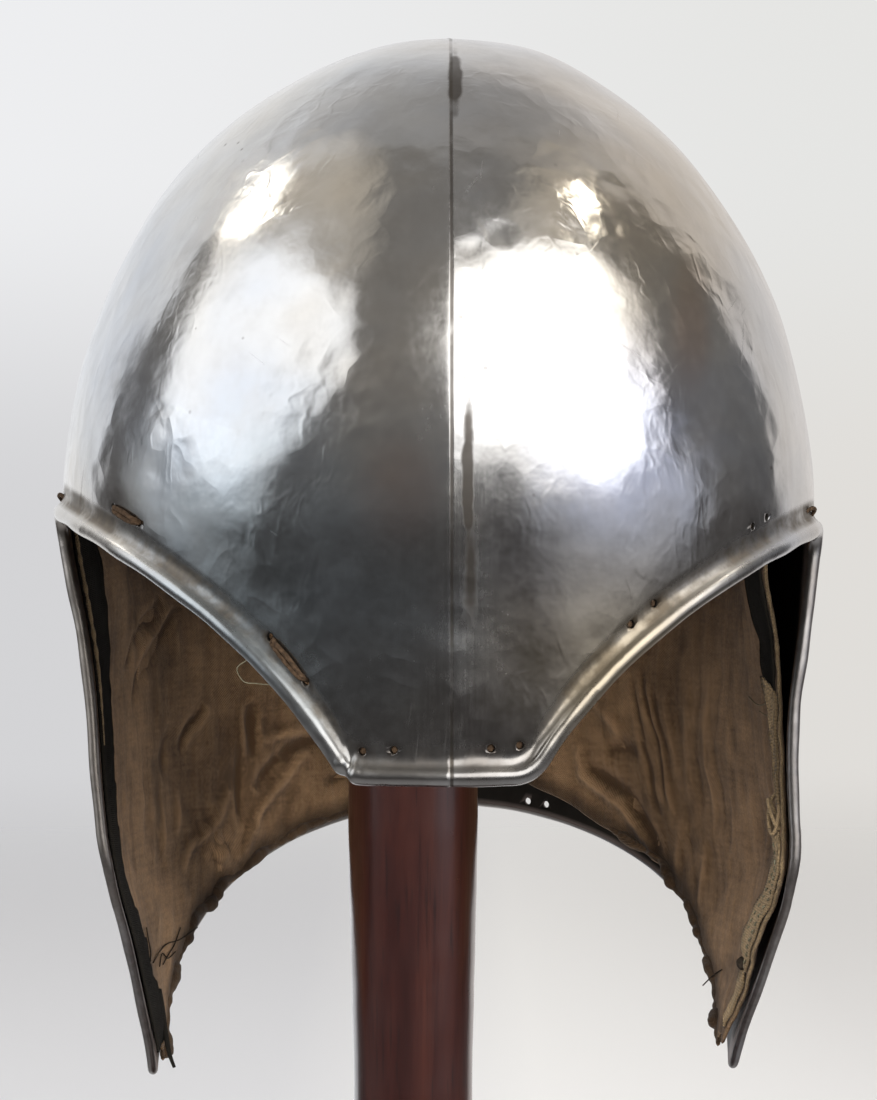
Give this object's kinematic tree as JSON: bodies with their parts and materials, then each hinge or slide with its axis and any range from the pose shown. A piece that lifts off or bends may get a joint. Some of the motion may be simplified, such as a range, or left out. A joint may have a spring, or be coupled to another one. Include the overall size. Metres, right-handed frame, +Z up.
{
  "type": "corinthian helmet on a display post",
  "caption": "Open-faced steel helmet with a keeled skull, broad nasal plate, arched eye openings, pointed side pieces and a cloth lining, resting on a turned wooden display post.",
  "frame": {"origin": "centre of the flat underside of the stand's round base, on the post's axis", "axes": "+Z up along the post, the helmet's face towards -Y, +X to the wearer's left"},
  "size_m": [0.2148, 0.2599, 0.3882],
  "materials": {
    "shell_steel": "hammered and polished, worn, with brown tarnish along the rim",
    "lining_cloth": "coarse tan linen, creased and stained",
    "border_cloth": "dark worn woven tape",
    "stand_wood": "dark red-brown stained hardwood, satin varnish"
  },
  "bodies": {
    "root": {"helmet_shell": "shell_steel", "lining": "lining_cloth", "lining_border_right": "border_cloth", "lining_border_left": "border_cloth", "stand_post": "stand_wood", "stand_base": "stand_wood"}
  },
  "joints": []
}
